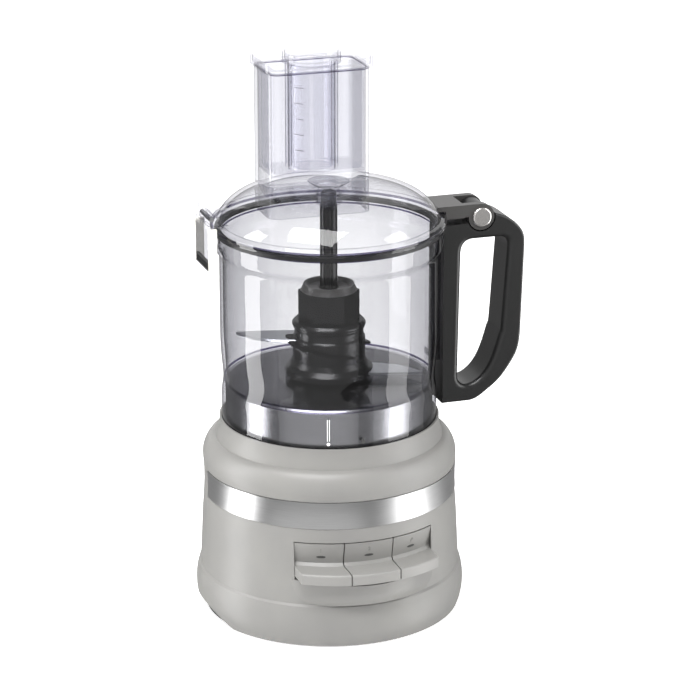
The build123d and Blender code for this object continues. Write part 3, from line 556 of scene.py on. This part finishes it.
# %% Winding
copper, tree, output = start("enamelled_copper_wire")
strands = stripes(tree, 0.0014, distortion=1.5)
color = add(tree, "ValToRGB", {"Fac": strands},
            stops=((0.2, "#6e3516"), (0.8, "#b8692f")))
surface(tree, output, color, 0.3, strands, 0.00006, metallic=0.85)
MOTOR_Y, WINDING_Z = 0.046, 0.0922
bpy.ops.mesh.primitive_torus_add(major_radius=0.0238, minor_radius=0.0038,
                                 major_segments=96, minor_segments=16,
                                 location=(0, MOTOR_Y, WINDING_Z))
winding = bpy.context.object
bpy.ops.object.transform_apply(location=True, rotation=False, scale=False)
for vertex in winding.data.vertices:
    around = Vector((vertex.co.x, vertex.co.y - MOTOR_Y))
    lobe = 1 + 0.08 * cos(4 * around.angle_signed(Vector((1, 0))))
    vertex.co.z = WINDING_Z + (vertex.co.z - WINDING_Z) * 0.85 * lobe
settle(winding, "field_winding", "base", copper)

# %% [markdown]
# ### Measuring lines on the small pusher
# The small pusher doubles as a measuring cup. Five short lines are printed round
# its front, each a thin strip spun through 40 degrees about the cup's axis.

# %% Measuring lines
LINES_START = radians(-38)    # azimuth of their left ends round the cup
for step in range(5):
    radius, height = 0.01604, 0.322 + 0.011 * step
    bpy.ops.mesh.primitive_plane_add(size=1, rotation=(pi / 2, 0, 0))
    line = bpy.context.object
    line.scale = (0.0001, 0.0005, 1)
    bpy.ops.object.transform_apply(location=False, rotation=True, scale=True)
    line.location = (radius * sin(LINES_START), TUBE_Y - radius * cos(LINES_START), height)
    bpy.ops.object.transform_apply(location=True, rotation=False, scale=False)
    bpy.ops.object.mode_set(mode="EDIT")
    bpy.ops.mesh.select_all(action="SELECT")
    bpy.ops.transform.rotate(value=pi / 2 + LINES_START, orient_axis="Z",
                             center_override=tuple(line.data.vertices[0].co))
    bpy.ops.mesh.spin(steps=16, angle=radians(24 + 8 * (step % 2)),
                      center=(0, TUBE_Y, height), axis=(0, 0, 1))
    bpy.ops.object.mode_set(mode="OBJECT")
    settle(line, f"measure_line_{step}", "small_pusher", pale_ink)

# %% [markdown]
# ## Floor, light and camera
# The set is a sheet of white paper that runs far behind the object. It glows a
# little, as paper lit from below does, so that it stays white in the picture.

# %% Paper floor
bpy.ops.mesh.primitive_circle_add(vertices=64, radius=9, fill_type="NGON",
                                  location=(0, 0, 0))
paper = bpy.context.object
paper.name = "paper_floor"
made, tree, output = start("white_studio_paper")
fibre = grain(tree, 0.02, detail=4.0)
color = add(tree, "ValToRGB", {"Fac": fibre}, stops=((0.3, "#f3f3f3"), (0.7, "#f6f6f6")))
shader = add(tree, "BsdfPrincipled", {
    "Base Color": color.outputs["Color"], "Roughness": 0.8,
    "Emission Color": (1, 1, 1, 1), "Emission Strength": 0.6})
tree.links.new(shader.outputs[0], output.inputs["Surface"])
paper.data.materials.append(made)
paper.visible_glossy = False    # polished parts mirror the soft boxes, not the paper

# %% [markdown]
# Two upright soft boxes stand left and right and draw the long highlights down the
# bowl, and a third hangs above. Three large, weak panels on the right, in front and
# behind are there for the metal, which would otherwise mirror a dark room. The sky
# only fills the shadows.

# %% Sky and soft boxes
def soft_box(name, azimuth, distance, height, size, watts, aim):
    """An area light round the object; azimuth from the front (-Y) towards +X."""
    light = bpy.data.lights.new(name, "AREA")
    light.shape, light.size, light.size_y = "RECTANGLE", *size
    light.energy = watts
    lamp = bpy.data.objects.new(name, light)
    a = radians(azimuth)
    lamp.location = (distance * sin(a), -distance * cos(a), height)
    lamp.rotation_euler = (Vector(aim) - lamp.location).to_track_quat("-Z", "Y").to_euler()
    lamp.visible_camera = False
    bpy.context.collection.objects.link(lamp)


soft_box("left_soft_box", -104, 1.7, 0.3, (0.64, 2.8), 45, (0, 0, 0.3))
soft_box("right_soft_box", 61, 1.7, 0.3, (0.85, 2.8), 31, (0, 0, 0.3))
soft_box("right_fill_panel", 66, 2.3, 0.3, (3.4, 3.4), 19, (0, 0, 0.3))
soft_box("front_fill_panel", -30, 2.5, 0.3, (4.6, 3.2), 23, (0, 0, 0.3))
soft_box("back_fill_panel", 162, 2.4, 0.95, (3.2, 2.0), 15, (0, 0, 0.2))
soft_box("top_soft_box", -40, 0.8, 1.7, (1.2, 1.0), 40, (0, 0, 0.2))

world = bpy.data.worlds.new("studio_sky")
world.use_nodes = True
bpy.context.scene.world = world
tree = world.node_tree
sky = tree.nodes["Background"]
sky.inputs["Color"].default_value = (1, 1, 1, 1)
sky.inputs["Strength"].default_value = 0.3

# %% [markdown]
# The camera stands a little left of the front, looks down by 18.5 degrees, and has
# a long lens, which keeps upright edges nearly parallel.

# %% Camera
camera_data = bpy.data.cameras.new("studio_camera")
camera_data.lens, camera_data.sensor_width = 151.84, 36
camera_data.clip_end = 50
camera = bpy.data.objects.new("studio_camera", camera_data)
camera.location = (-0.6016, -1.8516, 0.8372)
camera.rotation_euler = (radians(71.47), 0, radians(-18.43))
bpy.context.collection.objects.link(camera)
bpy.context.scene.camera = camera
bpy.context.scene.view_settings.view_transform = "Standard"
bpy.context.scene.cycles.transparent_max_bounces = 64
print("camera", tuple(round(v, 3) for v in camera.location))
